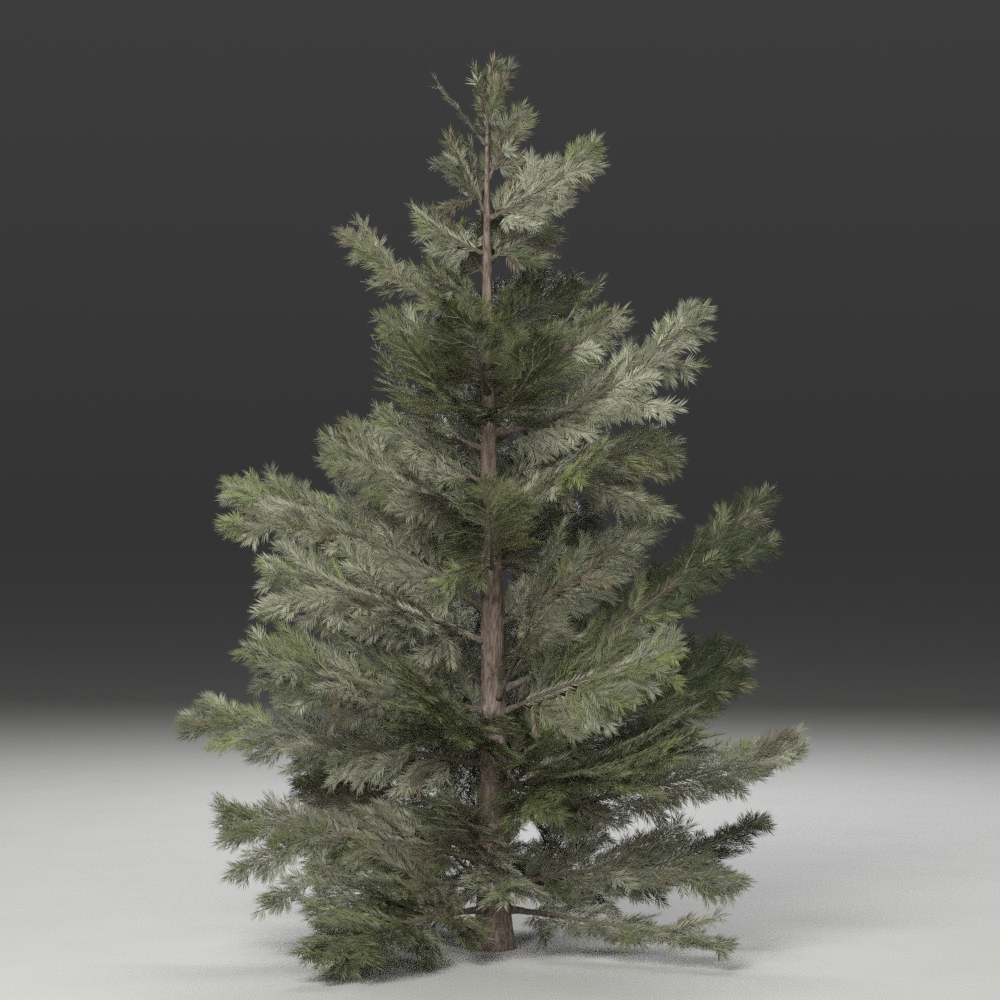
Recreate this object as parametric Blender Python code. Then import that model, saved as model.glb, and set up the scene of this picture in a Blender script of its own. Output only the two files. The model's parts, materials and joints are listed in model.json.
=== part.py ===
"""A young conifer, 2.4 m tall: a straight trunk, bare limbs and flat, feathery fronds.

Run with: blender --background --python part.py
Lengths are in metres, angles in degrees, +Z is up and the flat cut under the trunk is at z = 0.
"""

import math
import random
from collections import namedtuple

import bmesh
import bpy
from mathutils import Vector
from mathutils.bvhtree import BVHTree

UP = Vector((0, 0, 1))

# ---------------------------------------------------------------- trunk
TRUNK_HEIGHT = 2.20
TRUNK_SIDES = 12
TRUNK_RING_HEIGHTS = (0.0, 0.03, 0.085, 0.15, 0.25, 0.45, 0.70, 0.95, 1.20, 1.45, 1.70, 1.90, 2.03, 2.12,
                      TRUNK_HEIGHT)
TRUNK_DIAMETER = 0.092       # of the straight taper, measured at the ground
TAPER_HEIGHT = 2.33          # where that taper would come to a point
TAPER_POWER = 0.85
FLARE_DIAMETER = 0.035       # added at the ground by the root flare
FLARE_HEIGHT = 0.07
FLARE_LOBES = 5
FLARE_LOBE_DEPTH = 0.05      # of the radius, fading up the flare
LEAN = -0.006                # sideways travel for each metre of height
WAVE = 0.005                 # the trunk's slight bends
WAVE_AWAY = 0.7              # of those bends is away from the viewer
WAVE_TURN = 2.6              # radians of bend for each metre of height

# ---------------------------------------------------------------- limbs and stems
JOINT_GAP = 0.0003           # between a stem and what carries it
CLEARANCE = 0.0010           # between the sprays of two masses
LIMB_SIDES = 6
LIMB_STEPS = 6
LIMB_RADIUS = 0.0038         # at the trunk, plus the next value for each metre of reach
LIMB_RADIUS_PER_REACH = 0.0078
STEM_TAPER = 0.25            # tip radius as a share of the root radius
STEM_END = 0.93              # share of the spine where the stem's last point begins
SWAY = 0.05                  # sideways bend of a spine, as a share of its reach
SWAY_TURN = 2.4              # radians from one frond's bend to the next one's
FORK_RADIUS = 0.8            # of its frond's spine, where the fork leaves it
STEM_WIDTH = 0.8             # a stem's square rib, as a share of its limb's thickness
TANGENT_STEP = 0.01          # share of a spine over which its direction is measured
PROBE = 0.1                  # how far out a stem's root looks for the trunk's surface
PROBE_TURNS = 12

# ---------------------------------------------------------------- sprays of needles
TWIG_SPACING = 0.196         # along the leafy part of a spine, sides taken in turn
TWIG_ANGLE_ROOT = 74         # between a side twig and its spine, beside the trunk
TWIG_ANGLE_TIP = 22          # and at the frond's tip
TWIG_ANGLE_SPREAD = 7
TWIG_ROLL_SPREAD = 20
TWIG_LIFT_SPREAD = 20        # out of the frond's plane
TWIG_SHORTEST = 0.05
TWIG_LONGEST = 0.80          # of the leafy spine still ahead
TWIG_AHEAD = 1.1             # the share of the spine at which that would reach nothing
TWIG_LENGTHS = (0.85, 1.10)  # the spread of their lengths
TWIG_PLACES = (0.25, 0.55)   # where in its own interval a twig stands
END_INTERVAL = 0.6           # intervals left free at the tip
TWIG_RADIUS = 0.0022         # half the thickness of its rib at the root
TWIG_TIP = 0.5               # the rib's size at the last teeth, as a share of its root
TWIG_BOW = 0.08              # droop of the tip, as a share of the length
TWIG_STATIONS = (0.0, 0.32, 0.64)   # where the rib's facets begin, as shares of the length
TWIG_TEETH = (0.34, 0.26)           # reach of the needles beside them, as shares of the length
SHORT_TWIG = 0.18            # below this length one facet is enough
SHORT_STATIONS = (0.0, 0.45)
SHORT_TEETH = (0.36,)
TOOTH_SWEEP = 0.75           # forward lean of a tooth, as a share of its reach
SPREAD_ROOT = 1.55           # of a frond's width where it starts, narrowing evenly
SPREAD_TIP = 0.45            # to this share of it at its tip
SPREAD_SHOULDER = 0.85       # and drawn in a little beside the limb
SPINE_STEP = 0.134           # between pairs of teeth on a spine
SPINE_TOOTH = 0.50           # reach of a spine's teeth, as a share of the frond's spread there
SHORTER_TRY = 0.66           # a twig that is in the way is tried once at this share
GROUND_CLEARANCE = 0.004

# Each frond leaves the trunk at height, heads out at azimuth (0 is +X, 90 is +Y) and ends at
# reach and rise. arch lifts its middle, as a share of reach. tilt raises its +Y edge. width is half
# of its spread. bare is the share of the spine without needles, and where bough is 1 a limb of its
# own carries that stretch.
Frond = namedtuple("Frond", "number height azimuth reach rise arch tilt width bare bough tint")

FRONDS = [Frond(*row) for row in (
    (1, 2.20, 20, 0.014, 0.200, 0.00, 12, 0.055, 0.00, 0, "brown"),
    (2, 2.17, 178, 0.140, 0.175, 0.00, 4, 0.022, 0.08, 0, "sage"),
    (3, 2.08, 2, 0.095, 0.20, 0.00, 60, 0.060, 0.05, 0, "brown"),
    (4, 1.99, 203, 0.115, 0.20, 0.04, 55, 0.095, 0.04, 0, "brown"),
    (5, 1.97, 348, 0.305, 0.205, -0.06, 68, 0.085, 0.05, 0, "pale"),
    (6, 1.875, 192, 0.205, 0.125, -0.06, 60, 0.060, 0.05, 0, "sage"),
    (7, 1.86, 12, 0.205, 0.085, 0.05, 45, 0.080, 0.05, 0, "brown"),
    (8, 1.82, 112, 0.290, 0.16, 0.00, 45, 0.120, 0.05, 0, "dark"),
    (9, 1.74, 212, 0.230, 0.090, 0.00, 40, 0.110, 0.05, 0, "olive"),
    (10, 1.69, 173, 0.400, 0.250, -0.04, 62, 0.045, 0.26, 1, "sage"),
    (11, 1.64, 48, 0.360, 0.20, 0.00, 35, 0.110, 0.05, 0, "dark"),
    (12, 1.56, 205, 0.330, 0.14, -0.03, 58, 0.090, 0.05, 0, "sage"),
    (13, 1.50, 262, 0.370, 0.24, -0.08, 5, 0.150, 0.05, 0, "olive"),
    (14, 1.50, 352, 0.370, 0.225, -0.04, 55, 0.080, 0.05, 0, "sage"),
    (15, 1.43, 292, 0.400, 0.24, -0.12, 10, 0.120, 0.12, 0, "olive"),
    (16, 1.42, 238, 0.440, 0.25, -0.10, 15, 0.130, 0.10, 0, "olive"),
    (17, 1.39, 350, 0.590, 0.345, -0.11, 62, 0.090, 0.12, 1, "pale"),
    (18, 1.35, 184, 0.315, 0.29, -0.16, 6, 0.070, 0.27, 1, "pale"),
    (19, 1.32, 112, 0.480, 0.18, 0.00, 50, 0.190, 0.05, 0, "sage"),
    (20, 1.26, 165, 0.325, 0.205, -0.04, 35, 0.085, 0.04, 0, "sage"),
    (21, 1.24, 12, 0.530, 0.105, 0.06, 55, 0.100, 0.06, 0, "sage"),
    (22, 1.20, 308, 0.510, 0.16, -0.06, 50, 0.065, 0.05, 0, "lime"),
    (23, 1.17, 190, 0.455, 0.215, -0.05, 60, 0.105, 0.05, 0, "sage"),
    (24, 1.03, 271, 0.440, 0.25, -0.10, 6, 0.125, 0.12, 0, "olive"),
    (25, 1.02, 58, 0.580, 0.16, 0.00, 50, 0.200, 0.05, 0, "dark"),
    (26, 1.00, 128, 0.580, 0.20, 0.00, 50, 0.200, 0.05, 0, "sage"),
    (27, 0.92, 181, 0.720, 0.325, 0.06, 55, 0.108, 0.12, 1, "pale"),
    (28, 0.88, 4, 0.450, 0.30, -0.05, 60, 0.088, 0.05, 0, "sage"),
    (29, 0.68, 296, 0.430, 0.48, -0.04, 40, 0.070, 0.20, 0, "pale"),
    (30, 0.83, 197, 0.635, 0.21, 0.02, 50, 0.130, 0.08, 0, "pale"),
    (31, 0.70, 12, 0.790, 0.545, -0.08, 60, 0.088, 0.20, 1, "dark"),
    (32, 0.69, 102, 0.660, 0.18, 0.00, 50, 0.230, 0.05, 0, "sage"),
    (33, 0.64, 334, 0.540, 0.18, 0.02, 66, 0.140, 0.10, 1, "lime"),
    (34, 0.64, 205, 0.700, 0.165, 0.00, 45, 0.135, 0.05, 0, "sage"),
    (35, 0.54, 252, 0.600, 0.25, -0.06, 20, 0.160, 0.10, 0, "olive"),
    (36, 0.50, 24, 0.785, 0.29, -0.04, 52, 0.145, 0.05, 0, "dark"),
    (37, 0.50, 178, 0.850, 0.115, 0.00, 50, 0.100, 0.12, 1, "pale"),
    (38, 0.44, 318, 0.700, 0.18, -0.03, 20, 0.170, 0.05, 0, "olive"),
    (39, 0.42, 66, 0.700, 0.14, 0.00, 50, 0.220, 0.05, 0, "sage"),
    (40, 0.36, 351, 0.835, 0.205, -0.02, 62, 0.090, 0.24, 1, "pale"),
    (41, 0.36, 142, 0.700, 0.10, 0.00, 50, 0.220, 0.05, 0, "brown"),
    (42, 0.25, 257, 0.460, 0.21, -0.04, 12, 0.120, 0.10, 0, "pale"),
    (43, 0.24, 190, 0.740, 0.11, 0.03, 45, 0.100, 0.14, 1, "sage"),
    (44, 0.17, 12, 0.775, 0.165, -0.07, 35, 0.090, 0.05, 0, "dark"),
    (45, 0.17, 343, 0.690, 0.03, 0.06, 40, 0.090, 0.12, 1, "sage"),
    (46, 0.165, 212, 0.570, -0.04, 0.08, 30, 0.125, 0.05, 0, "sage"),
    (47, 0.14, 108, 0.700, 0.12, 0.02, 45, 0.210, 0.05, 0, "sage"),
    (48, 0.11, 238, 0.785, -0.04, 0.03, 20, 0.145, 0.20, 0, "olive"),
    (49, 0.11, 324, 0.735, -0.05, 0.01, 28, 0.076, 0.18, 0, "pale"),
)]

# A fork leaves the spine of the frond with its number at start, a share of that spine.
Fork = namedtuple("Fork", "number start azimuth reach rise arch tilt width bare")

FORKS = [Fork(*row) for row in (
    (1, 0.18, 192, 0.032, 0.140, 0.00, 60, 0.030, 0.10),
    (1, 0.30, 0, 0.060, 0.130, 0.00, 60, 0.030, 0.10),
    (4, 0.16, 172, 0.120, -0.03, 0.00, 45, 0.060, 0.08),
    (5, 0.10, 20, 0.090, 0.13, 0.00, 50, 0.045, 0.10),
    (5, 0.30, 330, 0.110, -0.01, 0.10, 60, 0.035, 0.20),
    (8, 0.25, 45, 0.130, 0.20, 0.00, 40, 0.045, 0.10),
    (9, 0.12, 188, 0.170, -0.03, 0.00, 45, 0.060, 0.05),
    (10, 0.60, 165, 0.110, 0.15, -0.05, 62, 0.030, 0.10),
    (10, 0.42, 150, 0.170, 0.02, 0.00, 40, 0.035, 0.15),
    (11, 0.12, 96, 0.280, 0.16, 0.00, 40, 0.085, 0.05),
    (12, 0.15, 132, 0.240, 0.10, 0.00, 45, 0.080, 0.05),
    (12, 0.15, 252, 0.210, 0.08, 0.00, 20, 0.060, 0.05),
    (14, 0.10, 72, 0.280, 0.05, 0.00, 45, 0.080, 0.05),
    (14, 0.12, 300, 0.220, 0.12, 0.00, 20, 0.060, 0.05),
    (14, 0.15, 336, 0.260, 0.27, 0.00, 25, 0.040, 0.10),
    (17, 0.48, 342, 0.230, -0.04, 0.00, 60, 0.045, 0.12),
    (17, 0.68, 354, 0.170, 0.00, 0.00, 60, 0.045, 0.10),
    (19, 0.06, 48, 0.300, 0.00, 0.00, 40, 0.080, 0.05),
    (21, 0.08, 352, 0.130, 0.19, 0.00, 40, 0.055, 0.10),
    (21, 0.12, 318, 0.300, 0.08, 0.00, 20, 0.075, 0.05),
    (21, 0.30, 352, 0.330, -0.13, 0.00, 50, 0.060, 0.12),
    (21, 0.42, 20, 0.230, 0.09, 0.00, 50, 0.050, 0.10),
    (23, 0.12, 238, 0.310, 0.10, 0.00, 20, 0.080, 0.05),
    (23, 0.45, 170, 0.180, 0.175, 0.00, 60, 0.045, 0.10),
    (24, 0.10, 205, 0.160, -0.05, 0.00, 50, 0.060, 0.08),
    (25, 0.12, 20, 0.280, 0.02, 0.00, 30, 0.070, 0.05),
    (26, 0.12, 165, 0.300, 0.02, 0.00, 30, 0.080, 0.05),
    (27, 0.45, 200, 0.400, 0.02, 0.06, 50, 0.060, 0.10),
    (28, 0.06, 338, 0.180, -0.06, 0.00, 50, 0.065, 0.08),
    (28, 0.10, 72, 0.360, 0.02, 0.00, 45, 0.100, 0.05),
    (30, 0.10, 128, 0.360, 0.08, 0.00, 45, 0.100, 0.05),
    (30, 0.12, 242, 0.360, 0.08, 0.00, 20, 0.085, 0.05),
    (30, 0.42, 205, 0.380, -0.02, 0.05, 45, 0.060, 0.10),
    (31, 0.60, 4, 0.310, 0.14, 0.00, 60, 0.055, 0.10),
    (32, 0.12, 42, 0.300, 0.12, 0.00, 45, 0.090, 0.05),
    (32, 0.10, 148, 0.280, 0.08, 0.00, 45, 0.085, 0.05),
    (34, 0.22, 186, 0.300, 0.23, 0.00, 45, 0.060, 0.10),
    (35, 0.10, 185, 0.260, 0.10, 0.00, 40, 0.070, 0.05),
    (36, 0.08, 60, 0.260, 0.16, 0.00, 30, 0.070, 0.05),
    (37, 0.18, 136, 0.380, 0.02, 0.00, 45, 0.100, 0.05),
    (38, 0.05, 285, 0.320, 0.16, 0.00, 15, 0.080, 0.08),
    (38, 0.06, 352, 0.200, -0.11, 0.00, 45, 0.060, 0.08),
    (42, 0.06, 280, 0.300, -0.09, 0.03, 10, 0.085, 0.05),
    (43, 0.18, 140, 0.380, -0.02, 0.00, 40, 0.090, 0.05),
    (43, 0.30, 212, 0.430, -0.16, 0.05, 40, 0.050, 0.10),
    (43, 0.45, 205, 0.380, -0.09, 0.05, 40, 0.060, 0.10),
    (44, 0.08, 50, 0.260, 0.20, 0.00, 35, 0.070, 0.05),
    (45, 0.36, 8, 0.270, 0.12, 0.00, 40, 0.050, 0.10),
    (47, 0.12, 60, 0.420, 0.04, 0.00, 35, 0.080, 0.05),
    (49, 0.70, 335, 0.170, 0.06, 0.00, 40, 0.035, 0.10),
)]

# Base colour, roughness
LOOKS = {
    "trunk_bark": ((0.150, 0.120, 0.090), 0.9),
    "bough_bark": ((0.120, 0.095, 0.070), 0.9),
    "needles_sage": ((0.130, 0.135, 0.085), 0.7),
    "needles_pale": ((0.240, 0.240, 0.165), 0.7),
    "needles_olive": ((0.070, 0.080, 0.030), 0.7),
    "needles_dark": ((0.050, 0.065, 0.025), 0.7),
    "needles_lime": ((0.190, 0.210, 0.085), 0.7),
    "needles_brown": ((0.120, 0.105, 0.065), 0.7),
}


# ---------------------------------------------------------------- places along the plant
def trunk_centre(height):
    bend = WAVE * math.sin(WAVE_TURN * height)
    return Vector((LEAN * height + bend, WAVE_AWAY * bend, height))


def trunk_radius(height):
    taper = TRUNK_DIAMETER * (1 - height / TAPER_HEIGHT) ** TAPER_POWER
    return 0.5 * (taper + FLARE_DIAMETER * math.exp(-height / FLARE_HEIGHT))


def heading(azimuth):
    angle = math.radians(azimuth)
    return Vector((math.cos(angle), math.sin(angle), 0))


def spine_point(limb, share):
    """A point on a frond's or a fork's spine, where share runs from 0 at its root to 1 at its tip."""
    out = heading(limb.azimuth)
    if isinstance(limb, Fork):
        root = spine_point(frond_of(limb), limb.start)
        travel = limb.reach * share
    else:
        root = trunk_centre(limb.height)
        inner = trunk_radius(limb.height) if limb.number > 1 else 0
        travel = inner + (limb.reach - inner) * share
    lift = limb.rise * share + 4 * limb.arch * limb.reach * share * (1 - share)
    sway = SWAY * math.sin(SWAY_TURN * limb.number) * limb.reach * share * share
    return root + out * travel + out.cross(UP) * sway + UP * lift


def frond_of(fork):
    return next(frond for frond in FRONDS if frond.number == fork.number)


def spine_frame(limb, share):
    """The point, the direction along the spine, the direction to the raised edge, and the normal."""
    point = spine_point(limb, share)
    ahead = spine_point(limb, share + TANGENT_STEP)
    behind = spine_point(limb, share - TANGENT_STEP)
    along = (ahead - behind).normalized()
    flat = UP.cross(heading(limb.azimuth))
    if flat.y < 0:
        flat.negate()
    flat = (flat - along * flat.dot(along)).normalized()
    up = along.cross(flat)
    if up.z < 0:
        up.negate()
    tilt = math.radians(limb.tilt)
    across = flat * math.cos(tilt) + up * math.sin(tilt)
    normal = up * math.cos(tilt) - flat * math.sin(tilt)
    return point, along, across, normal


def limb_radius(limb, share):
    reach = frond_of(limb).reach
    root = LIMB_RADIUS + LIMB_RADIUS_PER_REACH * reach
    if isinstance(limb, Fork):
        root = FORK_RADIUS * limb_radius(frond_of(limb), limb.start)
    return root * (STEM_TAPER + (1 - STEM_TAPER) * (1 - share) ** 2)


def spread(limb, share):
    """Half of the frond's width at a share of its spine, by its side sprays' tips."""
    leafy = (share - limb.bare) / (1 - limb.bare)
    narrowing = SPREAD_ROOT - (SPREAD_ROOT - SPREAD_TIP) * leafy
    return limb.width * narrowing * min(1, SPREAD_SHOULDER + 2 * leafy)


# ---------------------------------------------------------------- meshes
def new_object(name, mesh, material_name):
    obj = bpy.data.objects.new(name, mesh)
    mesh.materials.append(material(material_name))
    bpy.context.scene.collection.objects.link(obj)
    return obj


def material(name):
    if name in bpy.data.materials:
        return bpy.data.materials[name]
    colour, roughness = LOOKS[name]
    made = bpy.data.materials.new(name)
    made.use_nodes = True
    surface = made.node_tree.nodes["Principled BSDF"]
    surface.inputs["Base Color"].default_value = (*colour, 1)
    surface.inputs["Roughness"].default_value = roughness
    surface.inputs["Metallic"].default_value = 0
    made.diffuse_color = (*colour, 1)
    return made


def mesh_from(name, points, faces):
    mesh = bpy.data.meshes.new(name)
    mesh.from_pydata(points, [], faces)
    work = bmesh.new()
    work.from_mesh(mesh)
    bmesh.ops.recalc_face_normals(work, faces=work.faces)
    bmesh.ops.triangulate(work, faces=work.faces)
    work.to_mesh(mesh)
    work.free()
    return mesh


def tube(name, rings):
    """A closed tube through rings of points, each ring with the same number of points."""
    sides = len(rings[0])
    points = [point for ring in rings for point in ring]
    faces = [list(range(sides)), list(range(len(points) - sides, len(points)))]
    for ring in range(len(rings) - 1):
        first = ring * sides
        for side in range(sides):
            turn = (side + 1) % sides
            faces.append([first + side, first + turn, first + sides + turn, first + sides + side])
    return mesh_from(name, points, faces)


def ring_round(centre, across, normal, radius, sides):
    turns = [2 * math.pi * side / sides for side in range(sides)]
    return [centre + (across * math.cos(turn) + normal * math.sin(turn)) * radius for turn in turns]


def trunk_ring(height):
    ring = []
    for side in range(TRUNK_SIDES):
        turn = 2 * math.pi * side / TRUNK_SIDES
        lobes = FLARE_LOBE_DEPTH * math.cos(FLARE_LOBES * turn) * math.exp(-height / FLARE_HEIGHT)
        ring.append(trunk_centre(height) + heading(math.degrees(turn)) * trunk_radius(height) * (1 + lobes))
    return ring


def tree_of(*meshes):
    """One search tree over the triangles of several meshes."""
    points = []
    triangles = []
    for mesh in meshes:
        first = len(points)
        points += [vertex.co.copy() for vertex in mesh.vertices]
        triangles += [[first + corner for corner in face.vertices] for face in mesh.polygons]
    return BVHTree.FromPolygons(points, triangles)


# ---------------------------------------------------------------- limbs
def seat_on_trunk(centre, out, radius, trunk_tree):
    """How far along out a flat cap of this radius must move to lie JOINT_GAP clear of the trunk."""
    aside = out.cross(UP)
    highest = -PROBE
    for turn in range(PROBE_TURNS):
        for share in (0, 0.5, 1):
            angle = 2 * math.pi * turn / PROBE_TURNS
            offset = (aside * math.cos(angle) + UP * math.sin(angle)) * radius * share
            hit, _, _, distance = trunk_tree.ray_cast(centre + offset + out * PROBE, -out)
            if hit:
                highest = max(highest, PROBE - distance)
    return highest + JOINT_GAP


def facing_ring(centre, out, radius, neighbour):
    """A flat ring across out, without a twist: its points stand where the neighbour's do."""
    middle = sum(neighbour, Vector()) / len(neighbour)
    spokes = [point - middle for point in neighbour]
    return [centre + (spoke - out * spoke.dot(out)).normalized() * radius for spoke in spokes]


def seated_ring(limb, radius, neighbour, trunk_tree):
    """The flat root of a limb or stem, facing the trunk across the joint's gap."""
    out = heading(limb.azimuth)
    root = spine_point(limb, 0)
    seat = root + out * seat_on_trunk(root, out, radius, trunk_tree)
    return facing_ring(seat, out, radius, neighbour)


def make_bough(frond, trunk_tree):
    rings = []
    for step in range(LIMB_STEPS + 1):
        share = frond.bare * step / LIMB_STEPS
        point, _, across, normal = spine_frame(frond, share)
        rings.append(ring_round(point, across, normal, limb_radius(frond, share), LIMB_SIDES))
    rings[0] = seated_ring(frond, limb_radius(frond, 0), rings[1], trunk_tree)
    return new_object(f"bough_{frond.number:02d}", tube("bough", rings), "bough_bark")


# ---------------------------------------------------------------- sprays
def corners(point, across, normal, half):
    """The four corners of a square rib: left and right above, then left and right below."""
    return [point + across * (side * half) + normal * (above * half)
            for above in (1, -1) for side in (-1, 1)]


def feather_mesh(name, rings, teeth, apex):
    """A rib through square rings, with a pair of needle sprays beside each facet and a pointed end.

    teeth holds, for each facet, its left and right tips, or None where the rib is bare there.
    """
    points = [corner for ring in rings for corner in ring] + [apex]
    end = len(points) - 1
    faces = [[0, 1, 3, 2]]
    for facet, tips in enumerate(teeth):
        base = 4 * facet
        faces += [[base, base + 1, base + 5, base + 4], [base + 2, base + 3, base + 7, base + 6]]
        for side in (0, 1):
            around = [base + side, base + side + 4, base + side + 6, base + side + 2]
            if tips is None:
                faces.append(around)
                continue
            tip = len(points)
            points.append(tips[side])
            faces += [[around[turn], around[(turn + 1) % 4], tip] for turn in range(4)]
    last = 4 * (len(rings) - 1)
    faces += [[last + first, last + second, end] for first, second in ((0, 1), (1, 3), (3, 2), (2, 0))]
    return mesh_from(name, points, faces)


def tooth_tips(point, along, across, reach):
    """The two tips that a pair of teeth reaches, from the forward end of its facet."""
    ahead = point + along * (TOOTH_SWEEP * reach)
    return ahead - across * reach, ahead + across * reach


def spine_mesh(limb, trunk_tree):
    """The stem of a mass, or of its fork, with short sprays beside it."""
    first = 0 if isinstance(limb, Fork) or not limb.bough else limb.bare
    leafy = (spine_point(limb, STEM_END) - spine_point(limb, limb.bare)).length
    steps = max(2, round(leafy / SPINE_STEP))
    shares = [limb.bare + (STEM_END - limb.bare) * step / steps for step in range(steps + 1)]
    if first < limb.bare:
        shares = [first] + shares
    rings = []
    teeth = []
    for share in shares:
        point, along, across, normal = spine_frame(limb, share)
        rings.append(corners(point, across, normal, STEM_WIDTH * limb_radius(limb, share)))
        if share > limb.bare:
            teeth.append(tooth_tips(point, along, across, SPINE_TOOTH * spread(limb, share)))
        elif len(rings) > 1:
            teeth.append(None)
    if not isinstance(limb, Fork):
        rings[0] = root_ring(limb, rings, trunk_tree)
    return feather_mesh("spine", rings, teeth, spine_point(limb, 1))


def root_ring(frond, rings, trunk_tree):
    """Where a mass begins: clear of its bough's tip, of the trunk's side, or of the trunk's top."""
    if frond.bough:
        _, along, _, _ = spine_frame(frond, frond.bare)
        return [point + along * JOINT_GAP for point in rings[0]]
    if frond.number == 1:
        top = trunk_centre(TRUNK_HEIGHT) + UP * JOINT_GAP
        return facing_ring(top, UP, trunk_radius(TRUNK_HEIGHT), rings[1])
    return seated_ring(frond, limb_radius(frond, 0), rings[1], trunk_tree)


def twig_mesh(root, along, across, normal, length, grown=0.0):
    """A side twig: a toothed blade that droops a little."""
    rings = []
    teeth = []
    short = length < SHORT_TWIG
    for station in SHORT_STATIONS if short else TWIG_STATIONS:
        centre = root + along * (station * length) - normal * (TWIG_BOW * length * station ** 2)
        half = TWIG_RADIUS * (1 - (1 - TWIG_TIP) * station) + grown
        rings.append(corners(centre, across, normal, half))
        if len(rings) > 1:
            reach = (SHORT_TEETH if short else TWIG_TEETH)[len(rings) - 2] * length + grown
            teeth.append(tooth_tips(centre, along, across, reach))
    apex = root + along * (length + grown) - normal * (TWIG_BOW * length)
    return feather_mesh("twig", rings, teeth, apex)


def side_twigs(limb, rng, spacing):
    """The seeded rule: share of the spine, side, length and turns of each side twig."""
    leafy = (spine_point(limb, 1) - spine_point(limb, limb.bare)).length
    count = max(2, round(leafy / spacing - 0.5))
    for index in range(count):
        leafy_share = (index + rng.uniform(*TWIG_PLACES)) / (count + END_INTERVAL)
        share = limb.bare + (1 - limb.bare) * leafy_share
        angle = TWIG_ANGLE_ROOT + (TWIG_ANGLE_TIP - TWIG_ANGLE_ROOT) * math.sqrt(leafy_share)
        angle += rng.uniform(-1, 1) * TWIG_ANGLE_SPREAD
        across = spread(limb, share) / math.sin(math.radians(angle))
        ahead = TWIG_LONGEST * leafy * (TWIG_AHEAD - share)
        length = min(across, ahead) * rng.uniform(*TWIG_LENGTHS)
        lift = rng.uniform(-1, 1) * TWIG_LIFT_SPREAD
        roll = rng.uniform(-1, 1) * TWIG_ROLL_SPREAD
        yield share, (-1) ** index, max(length, TWIG_SHORTEST), (angle, lift, roll)


def rotated(first, second, angle):
    """Two directions at right angles, turned by an angle in their own plane."""
    return (first * math.cos(angle) + second * math.sin(angle),
            second * math.cos(angle) - first * math.sin(angle))


def turned_frame(frame, side, turns):
    """The frame of a side twig: turned from the spine in its plane, lifted out of it, then rolled."""
    _, along, across, normal = frame
    turn, lift, roll = (math.radians(angle) for angle in turns)
    ahead, _ = rotated(along, across * side, turn)
    ahead, normal = rotated(ahead, normal, lift)
    aside, normal = rotated(normal.cross(ahead), normal, roll)
    return ahead, aside, normal


def lowest(mesh):
    return min(vertex.co.z for vertex in mesh.vertices)


def is_free(mesh, obstacles):
    test = tree_of(mesh)
    return lowest(mesh) > GROUND_CLEARANCE and not any(test.overlap(other) for other in obstacles)


def plan_twigs(limb, rng, obstacles, own):
    """Meshes of the side twigs on one spine; one in the way is tried shorter, then skipped."""
    twigs = []
    for share, side, length, turns in side_twigs(limb, rng, TWIG_SPACING):
        frame = spine_frame(limb, share)
        ahead, aside, normal = turned_frame(frame, side, turns)
        for size in (length, length * SHORTER_TRY):
            if is_free(twig_mesh(frame[0], ahead, aside, normal, size, CLEARANCE), obstacles):
                twigs.append(twig_mesh(frame[0], ahead, aside, normal, size))
                own.append(tree_of(twigs[-1]))
                break
    return twigs


# ---------------------------------------------------------------- masses
def fuse(name, meshes, material_name):
    """One Boolean union joins the pieces of a mass; the other solver is used where one leaves it open."""
    base = new_object(name, meshes[0], material_name)
    rest = bpy.data.collections.new(name + "_pieces")
    for mesh in meshes[1:]:
        rest.objects.link(bpy.data.objects.new("piece", mesh))
    union = base.modifiers.new("union", "BOOLEAN")
    union.operation = "UNION"
    union.operand_type = "COLLECTION"
    union.collection = rest
    for solver in ("EXACT", "MANIFOLD"):
        union.solver = solver
        graph = bpy.context.evaluated_depsgraph_get()
        fused = bpy.data.meshes.new_from_object(base.evaluated_get(graph))
        if tidy(fused):
            break
    base.modifiers.remove(union)
    base.data = fused
    for piece in list(rest.objects):
        bpy.data.objects.remove(piece)
    bpy.data.collections.remove(rest)
    return base


def tidy(mesh):
    """Keeps a fused mesh's largest body and splits it into triangles; says whether it is closed."""
    work = bmesh.new()
    work.from_mesh(mesh)
    bmesh.ops.remove_doubles(work, verts=work.verts, dist=1e-6)
    bmesh.ops.dissolve_degenerate(work, edges=work.edges, dist=1e-6)
    bmesh.ops.triangulate(work, faces=work.faces)
    groups = islands(work)
    for scrap in sorted(groups, key=len)[:-1]:
        bmesh.ops.delete(work, geom=scrap, context="VERTS")
    bmesh.ops.recalc_face_normals(work, faces=work.faces)
    closed = all(edge.is_manifold for edge in work.edges)
    work.to_mesh(mesh)
    work.free()
    return closed


def islands(work):
    unseen = set(work.verts)
    groups = []
    while unseen:
        group = [unseen.pop()]
        for vertex in group:
            for edge in vertex.link_edges:
                other = edge.other_vert(vertex)
                if other in unseen:
                    unseen.discard(other)
                    group.append(other)
        groups.append(group)
    return groups


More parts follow.
